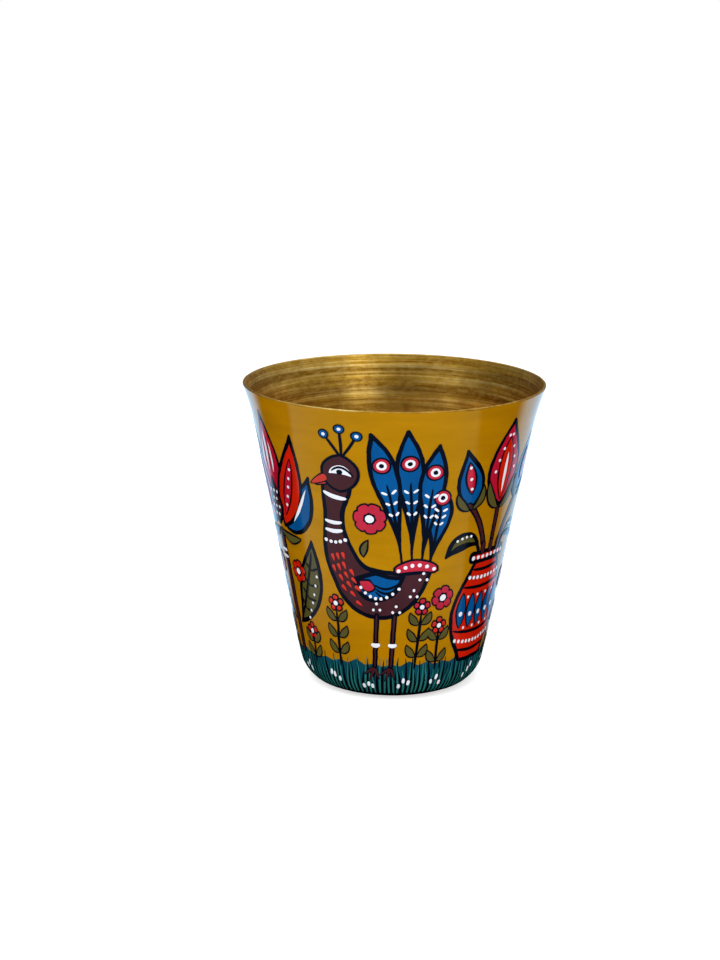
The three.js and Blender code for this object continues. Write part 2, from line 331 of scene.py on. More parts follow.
def soft_box(name, place, width, height, watts):
    bpy.ops.object.light_add(type="AREA", location=place)
    lamp = bpy.context.object
    lamp.name = name
    lamp.data.shape = "RECTANGLE"
    lamp.data.size = width
    lamp.data.size_y = height
    lamp.data.energy = watts
    lamp.rotation_euler = (middle - lamp.location).to_track_quat("-Z", "Y").to_euler()
    return lamp


overhead = soft_box("overhead_soft_box", place=(-0.1, -0.65, 0.7), width=0.7, height=0.7, watts=6.6)
overhead.visible_glossy = False
soft_box("narrow_window", place=(0.43, -0.76, 0.3), width=0.2, height=0.6, watts=0.9)

# %% [markdown]
# ## Brass
# Spun brass keeps the marks of the lathe: fine rings that run round the cup and catch the light in
# streaks. The rings are a noise squeezed along the profile and stretched round it, which gives the
# roughness and bump. The same streaks also make the colour lighter and darker. That is partly the tone of
# turned metal and partly a painted sheen of the light that the rings catch. Darker patches, pale mottles
# and small pits are the tarnish of a metal that is never quite clean.

# %% Helpers for materials


def new_material(name):
    material = bpy.data.materials.new(name)
    material.use_nodes = True
    return material, material.node_tree, material.node_tree.nodes["Principled BSDF"]


def add_noise(tree, coordinates, scale, detail=3.0, roughness=0.6):
    texture = tree.nodes.new("ShaderNodeTexNoise")
    texture.inputs["Scale"].default_value = scale
    texture.inputs["Detail"].default_value = detail
    texture.inputs["Roughness"].default_value = roughness
    tree.links.new(coordinates, texture.inputs["Vector"])
    return texture.outputs["Fac"]


def add_ramp(tree, value, stops):
    """A colour ramp; each stop is a share and a colour or a grey level."""
    ramp = tree.nodes.new("ShaderNodeValToRGB")
    elements = ramp.color_ramp.elements
    while len(elements) < len(stops):
        elements.new(0.5)
    for element, (share, colour) in zip(elements, stops):
        element.position = share
        element.color = (*colour, 1) if isinstance(colour, tuple) else (colour, colour, colour, 1)
    tree.links.new(value, ramp.inputs["Fac"])
    return ramp.outputs["Color"]


def add_mix(tree, share, first, second):
    mix = tree.nodes.new("ShaderNodeMix")
    mix.data_type = "RGBA"
    sockets = {socket.name: socket for socket in mix.inputs if socket.enabled}
    for name, value in (("Factor", share), ("A", first), ("B", second)):
        plug(tree, (*value, 1) if isinstance(value, tuple) else value, sockets[name])
    return next(socket for socket in mix.outputs if socket.enabled)


def add_bump(tree, shader, height, strength, distance):
    bump = tree.nodes.new("ShaderNodeBump")
    bump.inputs["Strength"].default_value = strength
    bump.inputs["Distance"].default_value = distance
    tree.links.new(height, bump.inputs["Height"])
    tree.links.new(bump.outputs["Normal"], shader.inputs["Normal"])


def srgb(red, green, blue):
    """A colour as read off a screen, 0 to 255, turned into the linear values that shaders take."""
    shares = (red / 255, green / 255, blue / 255)
    return tuple(s / 12.92 if s <= 0.04045 else ((s + 0.055) / 1.055) ** 2.4 for s in shares)


# %% Brass material
LATHE_RINGS = 1100  # rings to a metre of profile
STREAKS = 20  # streaks to a metre round the cup
PATCHES = 220
MOTTLES = 560
MOTTLE_STRETCH = (1, 1, 2.2)
PITS = 900
DULL_ROUGHNESS = 0.46
BRIGHT_ROUGHNESS = 0.27
LATHE_DEPTH = 0.05 * MM

brass, tree, shader = new_material("turned_brass")
place = tree.nodes.new("ShaderNodeTexCoord").outputs["Object"]
x, y, z = split_axes(tree, place)
profile_run = add_math(tree, "ADD", z, add_length(tree, join_axes(tree, x, y, 0)))
turned = join_axes(tree, x, y, add_math(tree, "MULTIPLY", profile_run, LATHE_RINGS / STREAKS))
streaks = add_noise(tree, turned, STREAKS, detail=4, roughness=0.7)
rings = add_noise(tree, turned, STREAKS / 4)
patches = add_noise(tree, place, PATCHES, detail=5, roughness=0.7)
drawn_round = add_vector_math(tree, "MULTIPLY", place, MOTTLE_STRETCH)
mottles = add_noise(tree, drawn_round, MOTTLES, detail=4, roughness=0.7)
pits = add_noise(tree, place, PITS, detail=2, roughness=0.5)
# The streaks set the colour too, lighter and darker along the rings: partly turned metal, partly a painted
# sheen.
metal_and_painted_sheen = add_ramp(
    tree, streaks, [(0.36, srgb(146, 100, 18)), (0.5, srgb(201, 158, 56)), (0.64, srgb(244, 214, 134))]
)
for marking, stops, colour in (
    (rings, [(0.36, 0.7), (0.52, 0.0)], srgb(122, 80, 8)),
    (patches, [(0.4, 0.5), (0.6, 0.0)], srgb(134, 92, 18)),
    (mottles, [(0.42, 0.0), (0.74, 0.5)], srgb(224, 188, 104)),
    (pits, [(0.22, 0.8), (0.27, 0.0)], srgb(52, 34, 8)),
):
    metal_and_painted_sheen = add_mix(tree, add_ramp(tree, marking, stops), metal_and_painted_sheen, colour)
tree.links.new(metal_and_painted_sheen, shader.inputs["Base Color"])
shader.inputs["Metallic"].default_value = 1
polish = add_ramp(tree, streaks, [(0.3, DULL_ROUGHNESS), (0.7, BRIGHT_ROUGHNESS)])
tree.links.new(polish, shader.inputs["Roughness"])
add_bump(tree, shader, streaks, strength=0.5, distance=LATHE_DEPTH)
print("brass: turned rings, tarnish patches, mottles and pits")

# %% [markdown]
# ## The spun cup
# A spinner presses a turning disc over a former, so every cut through the cup is the same curve. The curve
# is drawn here by pulling one point along it, and spun round the axis. The last thing done to such a cup is
# a skim with a hand tool, so the inside has shallow turning ripples and the wall gets thinner at the lip.

# %% Spinning a profile
SPIN_STEPS = 192
WELD = 0.001 * MM


def select_only(piece):
    bpy.ops.object.select_all(action="DESELECT")
    piece.select_set(True)
    bpy.context.view_layer.objects.active = piece


def spin_profile(name, profile):
    """Pulls a point along a profile of radius and height, and spins the line round the axis."""
    bpy.ops.object.select_all(action="DESELECT")
    bpy.ops.mesh.primitive_plane_add(size=MM)
    piece = bpy.context.object
    piece.name = name
    bpy.ops.object.mode_set(mode="EDIT")
    bpy.ops.mesh.merge(type="CENTER")
    bpy.ops.transform.translate(value=(profile[0][0], 0, profile[0][1]))
    for (r, z), (next_r, next_z) in zip(profile, profile[1:]):
        bpy.ops.mesh.extrude_vertices_move(TRANSFORM_OT_translate={"value": (next_r - r, 0, next_z - z)})
    bpy.ops.mesh.select_all(action="SELECT")
    bpy.ops.mesh.spin(steps=SPIN_STEPS, angle=2 * math.pi, center=(0, 0, 0), axis=(0, 0, 1))
    bpy.ops.mesh.select_all(action="SELECT")
    bpy.ops.mesh.remove_doubles(threshold=WELD)
    bpy.ops.mesh.normals_make_consistent(inside=False)
    bpy.ops.object.mode_set(mode="OBJECT")
    bpy.ops.object.shade_smooth()
    return piece


# %% Spin the cup
RIPPLE_DEPTH = 0.035 * MM
RIPPLE_LENGTH = 2.6 * MM
RIPPLE_WAVES = ((1, 1, 0), (0.7, 2.7, 1), (0.5, 0.37, 0))  # share of the depth, pace and start of each
BOTTOM_RING_DEPTH = 0.04 * MM
BOTTOM_RING_PACE = 2.4  # radians to a millimetre
EDGE_RADIUS = 0.36 * MM
EDGE_TAPER = 8 * MM
CORNER_STEPS = 14
INNER_CORNER_STEPS = 12
WALL_STEPS = 40
INSIDE_STEPS = 150
LIP_STEPS = 12
BOTTOM_STEPS = 24

ring_inner = corner_centre - FOOT_RING_WIDTH
recess_radius = ring_inner - RECESS_SLOPE
edge_height = HEIGHT - EDGE_RADIUS
edge_centre = wall_radius(edge_height, -EDGE_RADIUS)


def ripple(run):
    """Depth of the hand-turned ripples at a distance along the profile."""
    turn = 2 * math.pi * run / RIPPLE_LENGTH
    waves = sum(share * math.sin(pace * turn + start) for share, pace, start in RIPPLE_WAVES)
    return RIPPLE_DEPTH * waves / 2


def thickness_at(z):
    """The wall is skimmed thinner towards the lip."""
    near_edge = max(0.0, 1 - (edge_height - z) / EDGE_TAPER)
    return WALL - (WALL - 2 * EDGE_RADIUS) * near_edge


def bottom_line(height):
    """The bottom of the cup, from its middle outwards, with shallow turned rings."""
    return [
        (r, height + BOTTOM_RING_DEPTH * math.sin(r / MM * BOTTOM_RING_PACE))
        for r in steps(0, recess_radius, BOTTOM_STEPS)
    ]


outside = corner_arc(-math.pi / 2, 0, CORNER_STEPS) + wall_line(edge_height, 0, WALL_STEPS)
lip = [
    (edge_centre + EDGE_RADIUS * math.cos(a), edge_height + EDGE_RADIUS * math.sin(a))
    for a in steps(0, math.pi, LIP_STEPS)
]
inside = [
    (wall_radius(z, -thickness_at(z)) + ripple(z), z)
    for z in steps(corner_top, edge_height, INSIDE_STEPS)[1:]
]
inner_corner = corner_arc(-math.pi / 2, -WALL, INNER_CORNER_STEPS)
cup_profile = bottom_line(FOOT_RECESS) + [(ring_inner, 0)] + outside + lip[1:] + inside[-2::-1]
cup_profile += inner_corner[::-1] + [(ring_inner, WALL)] + bottom_line(WALL + FOOT_RECESS)[::-1]

cup = spin_profile("spun_brass_cup", cup_profile)
cup.data.materials.append(brass)
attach(cup, "root")
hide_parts("brass_cup")
print("cup:", len(cup.data.polygons), "faces from a profile of", len(cup_profile), "points")

# %% [markdown]
# ## Enamel
# Brushed enamel isn't one flat colour. It is thinner along the edges of a brush mark and thicker where
# strokes meet, and it dries with a glossy skin that mirrors the room. Every colour on the cup is made by
# the same recipe: a streaky two-tone colour, a little grain in the surface, and a skin that tints what it
# mirrors, so that the ochre stays warm under a cool light and the dark paints stay dark. The paint of the
# grass border also runs into black near the foot. That is partly a black foot line and partly painted shade
# where the cup meets the floor.

# %% Enamel recipe
BRUSH_MARKS = 260
CLOUDS = 52
PAINT_GRAIN = 1500
GRAIN_SHARE = 0.4
PAINT_RELIEF = 0.02 * MM
THIN_ROUGHNESS = 0.12
THICK_ROUGHNESS = 0.05
# the grass paint runs into this near the foot: partly a black foot line, partly painted shade
FOOT_BLACK_AND_SHADE = (0.001, 0.002, 0.005)
FOOT_FADE = 1.2 * MM
FOOT_RAGGEDNESS = 1.5 * MM


def enamel(name, colour, mirror, contrast=0.16, stretch=(1, 1, 0.25), black_and_shade_below=None):
    """A paint with brush marks, a contrast between its thin and thick places, and a mirror tint."""
    material, tree, shader = new_material(name)
    place = tree.nodes.new("ShaderNodeTexCoord").outputs["Object"]
    brush_marks = add_noise(tree, add_vector_math(tree, "MULTIPLY", place, stretch), BRUSH_MARKS)
    clouds = add_noise(tree, place, CLOUDS, detail=2, roughness=0.5)
    grain = add_noise(tree, place, PAINT_GRAIN, detail=2, roughness=0.5)
    thin = tuple(c * (1 - contrast) for c in colour)
    thick = tuple(min(1.0, c * (1 + contrast)) for c in colour)
    tone = add_ramp(tree, brush_marks, [(0.32, thin), (0.68, thick)])
    tone = add_mix(tree, add_ramp(tree, clouds, [(0.35, 0.35), (0.65, 0.0)]), tone, thin)
    # Below a height the paint runs into black: partly a black foot line, partly painted shade at the foot.
    if black_and_shade_below:
        height = split_axes(tree, place)[2]
        ragged = add_math(tree, "ADD", height, add_math(tree, "MULTIPLY", brush_marks, FOOT_RAGGEDNESS))
        foot = add_rise(tree, ragged, black_and_shade_below, black_and_shade_below + FOOT_FADE, 1, 0)
        tone = add_mix(tree, foot, tone, FOOT_BLACK_AND_SHADE)
    tree.links.new(tone, shader.inputs["Base Color"])
    gloss = add_ramp(tree, brush_marks, [(0.3, THIN_ROUGHNESS), (0.7, THICK_ROUGHNESS)])
    tree.links.new(gloss, shader.inputs["Roughness"])
    shader.inputs["Specular Tint"].default_value = (*mirror, 1)
    relief = add_mix(tree, GRAIN_SHARE, brush_marks, grain)
    add_bump(tree, shader, relief, strength=0.35, distance=PAINT_RELIEF)
    return material


# %% Mix the paints
DULL_MIRROR = (0.3, 0.3, 0.3)
# the grass runs into black below this height: partly a black foot line, partly painted shade
GRASS_BLACK_AND_SHADE_HEIGHT = 3.2 * MM

ochre = enamel("ochre_enamel", srgb(168, 114, 1), (1, 0.95, 0.05), 0.1, stretch=(0.2, 0.2, 1))
paints = {
    "brown": enamel("brown_enamel", srgb(61, 26, 32), (0.25, 0.25, 0.25)),
    "blue": enamel("blue_enamel", srgb(1, 76, 136), (0.1, 0.4, 1)),
    "red": enamel("red_enamel", srgb(194, 26, 2), (1, 1, 0.8)),
    "crimson": enamel("crimson_enamel", srgb(180, 16, 46), (0.8, 0.6, 0.7)),
    "olive": enamel("olive_enamel", srgb(82, 77, 34), DULL_MIRROR),
    "green": enamel("green_enamel", srgb(10, 62, 76), DULL_MIRROR, 0.3, black_and_shade_below=GRASS_BLACK_AND_SHADE_HEIGHT),
    "leaf_green": enamel("leaf_green_enamel", srgb(34, 106, 100), DULL_MIRROR, 0.25),
    "black": enamel("black_enamel", srgb(3, 5, 14), (0.06, 0.1, 0.25), 0.3),
    "white": enamel("white_enamel", srgb(228, 232, 241), (1, 1, 1), 0.06),
}
print("paints:", ["ochre", *paints])

# %% [markdown]
# ## Ground coat
# The ochre coat covers the outside from the lip down to the round of the foot. It is a thin shell, spun
# like the cup. The painter's hand isn't as true as the lathe, so its two edges wander a little.

# %% Spin the ground coat
COAT_GAP = 0.02 * MM
COAT_THICKNESS = 0.1 * MM
COAT_CORNER_STEPS = 12
COAT_WALL_STEPS = 60
COAT_CREASE = math.radians(40)
EDGE_BAND = 0.5 * MM
EDGE_WANDER = 0.16 * MM
WANDER_WAVES = 160  # to a metre
FINE_WANDER_WAVES = 420
TOP_OVERRUN = 0.4  # how far the top edge is painted high, in shares of its wander

coat_skin = COAT_GAP + COAT_THICKNESS


def coat_side(offset):
    corner = corner_arc(coat_start, offset, COAT_CORNER_STEPS)
    return corner + wall_line(edge_height, offset, COAT_WALL_STEPS)


coat_profile = coat_side(coat_skin) + coat_side(COAT_GAP)[::-1]
coat = spin_profile("ochre_ground_coat", coat_profile + coat_profile[:1])
for vertex in coat.data.vertices:
    near_top = max(0.0, 1 - (edge_height - vertex.co.z) / EDGE_BAND)
    near_foot = max(0.0, 1 - (vertex.co.z - FOOT_MARGIN) / EDGE_BAND)
    wander = noise.noise(vertex.co * WANDER_WAVES) + 0.5 * noise.noise(vertex.co * FINE_WANDER_WAVES)
    vertex.co.z += EDGE_WANDER * (wander + TOP_OVERRUN) * near_top + EDGE_WANDER * wander * near_foot
select_only(coat)
bpy.ops.object.shade_smooth_by_angle(angle=COAT_CREASE)
coat.data.materials.append(ochre)
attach(coat, "root")
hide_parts("ground_coat")
print("ground coat:", len(coat.data.polygons), "faces")

# %% [markdown]
# ## Painted fields
# Each field of colour starts from its film in the measured model. The film's outer face is kept, its
# facets are smoothed away by subdivision, and its edge is made to waver as a brush does. The faces along
# the edge become the dark outline. Shrinkwrap lays the sheet on the coat, and Solidify gives it a paint's
# thickness. Drawing the fields again from nothing would risk drifting away from the films.

# %% From film to sheet
LAYER_LIFT = 0.04 * MM
FIELD_THICKNESS = 0.05 * MM
FIELD_CREASE = math.radians(50)
QUAD_LIMIT = math.radians(70)
OUTWARD = 0.5  # a face whose normal leans outwards less than this is a side or the back of a film


def apply_modifier(piece, kind, **settings):
    modifier = piece.modifiers.new(kind.lower(), kind)
    for setting, value in settings.items():
        setattr(modifier, setting, value)
    select_only(piece)
    bpy.ops.object.modifier_apply(modifier=modifier.name)


def outer_sheet(node):
    """A copy of a film's outer face, as one sheet of four-sided faces."""
    piece = bpy.data.objects.new(node + "_paint", frame["nodes"][node].data.copy())
    scene.collection.objects.link(piece)
    piece.data.materials.clear()
    select_only(piece)
    bpy.ops.object.mode_set(mode="EDIT")
    bpy.ops.mesh.select_mode(type="FACE")
    bpy.ops.mesh.select_all(action="SELECT")
    bpy.ops.mesh.remove_doubles(threshold=WELD)
    bpy.ops.mesh.select_all(action="DESELECT")
    bpy.ops.object.mode_set(mode="OBJECT")
    for face in piece.data.polygons:
        outward = Vector((face.center.x, face.center.y, 0)).normalized()
        face.select = face.normal.dot(outward) < OUTWARD
    bpy.ops.object.mode_set(mode="EDIT")
    bpy.ops.mesh.delete(type="FACE")
    bpy.ops.mesh.select_all(action="SELECT")
    bpy.ops.mesh.tris_convert_to_quads(face_threshold=QUAD_LIMIT, shape_threshold=QUAD_LIMIT)
    bpy.ops.object.mode_set(mode="OBJECT")
    return piece


def lay_on_coat(piece, node, layer):
    """Wraps a sheet onto the ground coat, at the height of its layer, and puts it in its film's place."""
    apply_modifier(piece, "SHRINKWRAP", target=coat, wrap_mode="ABOVE_SURFACE", offset=layer * LAYER_LIFT)
    apply_modifier(piece, "SOLIDIFY", thickness=FIELD_THICKNESS, offset=-1)
    bpy.ops.object.shade_smooth_by_angle(angle=FIELD_CREASE)
    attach(piece, "root")
    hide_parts(node)


# %% [markdown]
# The outline is as wide as a loaded brush tip. Every face that lies nearer to the edge than that is painted
# black. The points between black and colour are then pulled towards one distance from the edge, which
# swells and shrinks a little along the line, as a pressed brush does.

# %% Outline a field
OUTLINE = 1.1 * MM
FINE_OUTLINE = 0.45 * MM
LINE_SWELL = 0.3
SWELL_SPREAD = 5 * MM
LINE_SMOOTHING = 0.88  # short of 1, so that no two points meet
HAND_SEED = 5

noise.seed_set(HAND_SEED)  # without a seed, vector noise starts from the clock


def waver(piece, size, spread):
    """Moves each point a little, by a smooth noise whose bumps are about a spread apart."""
    for vertex in piece.data.vertices:
        vertex.co += size * noise.noise_vector(vertex.co / spread)


def outline_field(piece, width):
    """Paints the faces along the edge black, and pulls the inner side of that line to a smooth width."""
    select_only(piece)
    bpy.ops.object.mode_set(mode="EDIT")
    bpy.ops.mesh.select_all(action="SELECT")
    bpy.ops.mesh.region_to_loop()
    bpy.ops.object.mode_set(mode="OBJECT")
    edge = [vertex.co.copy() for vertex in piece.data.vertices if vertex.select]
    nearest = kdtree.KDTree(len(edge))
    for number, place in enumerate(edge):
        nearest.insert(place, number)
    nearest.balance()

    paints_at = [set() for vertex in piece.data.vertices]
    for face in piece.data.polygons:
        face.material_index = int(nearest.find(face.center)[2] < width)
        for number in face.vertices:
            paints_at[number].add(face.material_index)
    for vertex, slots in zip(piece.data.vertices, paints_at):
        if len(slots) > 1:
            place = nearest.find(vertex.co)[0]
            pressure = 1 + LINE_SWELL * noise.noise(place / SWELL_SPREAD)
            smooth_place = place + pressure * width * (vertex.co - place).normalized()
            vertex.co = vertex.co.lerp(smooth_place, LINE_SMOOTHING)


# %% [markdown]
# The record of the measured model names the enamel of each film, so the fields take their paint from it.
# A film that lies over others gets a higher layer.

# %% Paint the fields
HAND_WAVER = 0.22 * MM
HAND_SPREAD = 6 * MM
LINE_WAVER = 0.1 * MM
LINE_SPREAD = 1.6 * MM
FIELD_SUBDIVISION = 3
BOTTOM_LAYER = ("_body", "_bud", "_leaf", "_centre_petal", "_outer_petal")
UPPER_LAYER = ("_pot_lip", "_tall_bud", "_heart", "_feather_2", "_feather_4")
NARROW = ("_beak", "_leg_1", "_leg_2", "_twig", "_stem")
NOT_IN_FRIEZE = ("brass_cup", "ground_coat", "grass_border")


def layer_of(node):
    if node.endswith(UPPER_LAYER):
        return 3
    return 1 if node.endswith(BOTTOM_LAYER) else 2


enamel_of = {part["node"]: part["material_slot"] for part in frame["record"]["subparts"]}
frieze_nodes = [node for node in sorted(enamel_of) if node not in NOT_IN_FRIEZE]
for node in frieze_nodes:
    field = outer_sheet(node)
    waver(field, HAND_WAVER, HAND_SPREAD)
    apply_modifier(field, "SUBSURF", levels=FIELD_SUBDIVISION, render_levels=FIELD_SUBDIVISION)
    field.data.materials.append(paints[enamel_of[node].removesuffix("_enamel")])
    field.data.materials.append(paints["black"])
    outline_field(field, FINE_OUTLINE if node.endswith(NARROW) else OUTLINE)
    waver(field, LINE_WAVER, LINE_SPREAD)
    lay_on_coat(field, node, layer_of(node))
print("painted fields:", len(frieze_nodes))

# %% Grass border
border = outer_sheet("grass_border")
apply_modifier(border, "SUBSURF", levels=1, render_levels=1)
border.data.materials.append(paints["green"])
lay_on_coat(border, "grass_border", 1)
print("grass border:", len(border.data.polygons), "faces")

# %% [markdown]
# ## A brush and a dotting stick
# Everything else is drawn with two tools: a round brush, which leaves a stroke with blunt ends, and the end
# of a stick, which leaves a dot. Each mark is modelled once, from a ball. A stroke is a ball drawn out
# until its length runs from 0 to 1, and a dot is a ball pressed flat. Every mark on the cup is a copy of
# one of them, bent along its path and laid on the wall.

# %% Model one stroke and one dot
BLUNTNESS = 0.4

bpy.ops.object.select_all(action="DESELECT")
bpy.ops.mesh.primitive_uv_sphere_add(segments=6, ring_count=12, radius=1)
stroke_mark = bpy.context.object
stroke_mark.name = "stroke_mark"
bpy.ops.object.mode_set(mode="EDIT")
bpy.ops.transform.rotate(value=math.pi / 2, orient_axis="Y", center_override=(0, 0, 0))
bpy.ops.object.mode_set(mode="OBJECT")
for vertex in stroke_mark.data.vertices:
    girth = math.hypot(vertex.co.y, vertex.co.z)
    swell = girth ** BLUNTNESS / girth if girth > 1e-6 else 0
    evenly = math.atan2(girth, -vertex.co.x) / math.pi
    length = (evenly + (1 + vertex.co.x) / 2) / 2
    vertex.co = (length, swell * vertex.co.y, swell * vertex.co.z)
bpy.ops.object.shade_smooth()

bpy.ops.object.select_all(action="DESELECT")
bpy.ops.mesh.primitive_uv_sphere_add(segments=14, ring_count=3, radius=1)
dot_mark = bpy.context.object
dot_mark.name = "dot_mark"
bpy.ops.object.shade_smooth()
print("marks:", len(stroke_mark.data.polygons), "and", len(dot_mark.data.polygons), "faces")

# %% [markdown]
# The frieze is planned on squared paper: six panels of 32 by 68 squares, each about a millimetre wide. One
# rule takes a square of a panel to its place on the wall. Squares below zero run round the foot.

# %% From squared paper to the wall
PANELS = ["front_peacock", "right_flowers", "right_lotus", "back_peacock", "left_flowers", "left_lotus"]
SQUARES_WIDE = 32
SQUARES_HIGH = 68
FRONT_ANGLE = math.radians(-96)
FRIEZE_MARGIN = 2 * MM
HEADING_STEP = 0.01

square_angle = 2 * math.pi / len(PANELS) / SQUARES_WIDE
frieze_top = coat_top - FRIEZE_MARGIN


def on_wall(x, y, panel, lift):
    """The place of a square, lifted off the ground coat."""
    angle = FRONT_ANGLE + (panel * SQUARES_WIDE + x) * square_angle
    offset = coat_skin + lift
    if y >= 0:
        z = corner_top + (frieze_top - corner_top) * y / SQUARES_HIGH
        radius = wall_radius(z, offset)
    else:
        radius, z = corner_point(y * MM / CORNER_RADIUS - lean, offset)
    return Vector((radius * math.cos(angle), radius * math.sin(angle), z))


def on_curve(path, share):
    """A point of the curve that a few points pull into shape: each pair is blended until one is left."""
    points = [Vector(point) for point in path]
    while len(points) > 1:
        points = [a.lerp(b, share) for a, b in zip(points, points[1:])]
    return points[0]


def heading(path, share):
    """The way a curve runs at a share of it."""
    ahead = on_curve(path, share + HEADING_STEP)
    return (ahead - on_curve(path, share - HEADING_STEP)).normalized()


# %% [markdown]
# The painter's hand works on one panel at a time. It trembles a little, it can press evenly, or harder in
# the middle, or let go towards the end, and it can paint a mirror image.

# %% The painter's hand
TREMBLE = 0.14  # squares
TREMBLE_SPREAD = 3  # squares
UPRIGHT_TREMBLE = 50  # another part of the noise than sideways tremble
MARK_THICKNESS = 0.05 * MM
DARK_LAYER = 4
COLOUR_LAYER = 4.8
WHITE_LAYER = 5.6
TOP_LAYER = 6.4

marks = {}


def even(share):
    return 1


def pointed(share):
    return math.sin(math.pi * min(max(share, 0), 1)) ** 0.5


def rounded(share):
    return math.sin(math.pi * min(max(share, 0), 1)) ** 0.3


def letting_go(share):
    return 1 - 0.75 * share


class Hand:
    """The painter's hand at work on one panel. Facing -1 paints a mirror image."""

    def __init__(self, panel, facing=1, name=None):
        self.panel = panel
        self.facing = facing
        self.name = name or PANELS[panel]

    def tremble(self, x, y, part):
        return TREMBLE * noise.noise(Vector((x / TREMBLE_SPREAD, y / TREMBLE_SPREAD, part)))

    def lay(self, mark, paint, bend, layer):
        """Lays a copy of a mark on the wall. A bend takes a point of the mark to a square."""
        copy = bpy.data.objects.new(paint + "_mark", mark.data.copy())
        scene.collection.objects.link(copy)
        for vertex in copy.data.vertices:
            x, y = bend(vertex.co)
            x += self.tremble(x, y, self.panel)
            y += self.tremble(x, y, self.panel + UPRIGHT_TREMBLE)
            lift = layer * LAYER_LIFT + MARK_THICKNESS * (vertex.co.z - 1) / 2
            vertex.co = on_wall(self.facing * x, y, self.panel, lift)
        marks.setdefault((self.name, paint), []).append(copy)

    def stroke(self, paint, path, half, press=even, layer=DARK_LAYER):
        def bend(place):
            way = heading(path, place.x)
            across = half * press(place.x) * place.y
            return on_curve(path, place.x) + across * Vector((-way.y, way.x))

        self.lay(stroke_mark, paint, bend, layer)

    def white_stroke(self, path, half, press=even):
        self.stroke("white", path, half, press, WHITE_LAYER)

    def dot(self, paint, x, y, radius, layer=WHITE_LAYER):
        self.lay(dot_mark, paint, lambda place: (x + radius * place.x, y + radius * place.y), layer)

    def dots(self, path, count, radius, paint="white"):
        for share in steps(0, 1, count - 1):
            x, y = on_curve(path, share)
            self.dot(paint, x, y, radius)

    def leaf(self, paint, path, half, press=pointed, rim=0.55):
        """A small outlined field: a dark stroke, and a lighter one on it that is a rim smaller."""
        self.stroke("black", path, half, press)
        gap = rim / max(1e-6, (Vector(path[0]) - Vector(path[-1])).length)
        inner = [on_curve(path, share) for share in (gap, 0.5, 1 - gap)]
        pull = 2 * inner[1] - (inner[0] + inner[2]) / 2
        self.stroke(paint, [inner[0], pull, inner[2]], half - rim, press, COLOUR_LAYER)

    def three_dots(self, x, y, radius=0.5):
        for angle in (90, 210, 330):
            turn = math.radians(angle)
            self.dot("white", x + 1.1 * math.cos(turn), y + 1.1 * math.sin(turn), radius)

    def rosette(self, x, y, petals, reach, paint):
        for number in range(petals):
            turn = 2 * math.pi * number / petals + 0.3
            way = Vector((math.cos(turn), math.sin(turn)))
            path = [Vector((x, y)) + 0.25 * reach * way, Vector((x, y)) + reach * way]
            self.leaf(paint, path, 0.42 * reach, even, 0.4)
        self.dot("black", x, y, 0.42 * reach, WHITE_LAYER)
        self.dot("white", x, y, 0.3 * reach, TOP_LAYER)

    def sprig(self, foot, tip, pairs, paint, flower):
        """An upright stem with a pair of leaves at each joint, and a small flower on top."""
        self.stroke("black", [foot, tip], 0.45)
        for share in steps(0.25, 0.8, pairs - 1):
            joint = on_curve([foot, tip], share)
            for side in (-1, 1):
                end = joint + Vector((side * 3.1, 3.4))
                self.leaf(paint, [joint, joint + Vector((side * 2.6, 0.6)), end], 1.25, pointed, 0.4)
        x, y = tip
        self.rosette(x, y + 1.5, 5, 2.5, flower)


print("a hand that trembles by", TREMBLE, "squares")

# %% [markdown]
# ## Peacocks
# The films give the bird its body, wing, legs and tail. The fine brush adds what makes it a peacock: a
# crest, an almond eye, bands round the neck, breast feathers, and an eye on every tail feather.

# %% Paint the peacocks


def across(path, share, reach, sag):
    """A path across a curve, bowed back by a sag."""
    centre = on_curve(path, share)
    way = heading(path, share)
    side = Vector((-way.y, way.x))
    return [centre - reach * side, centre - sag * way, centre + reach * side]


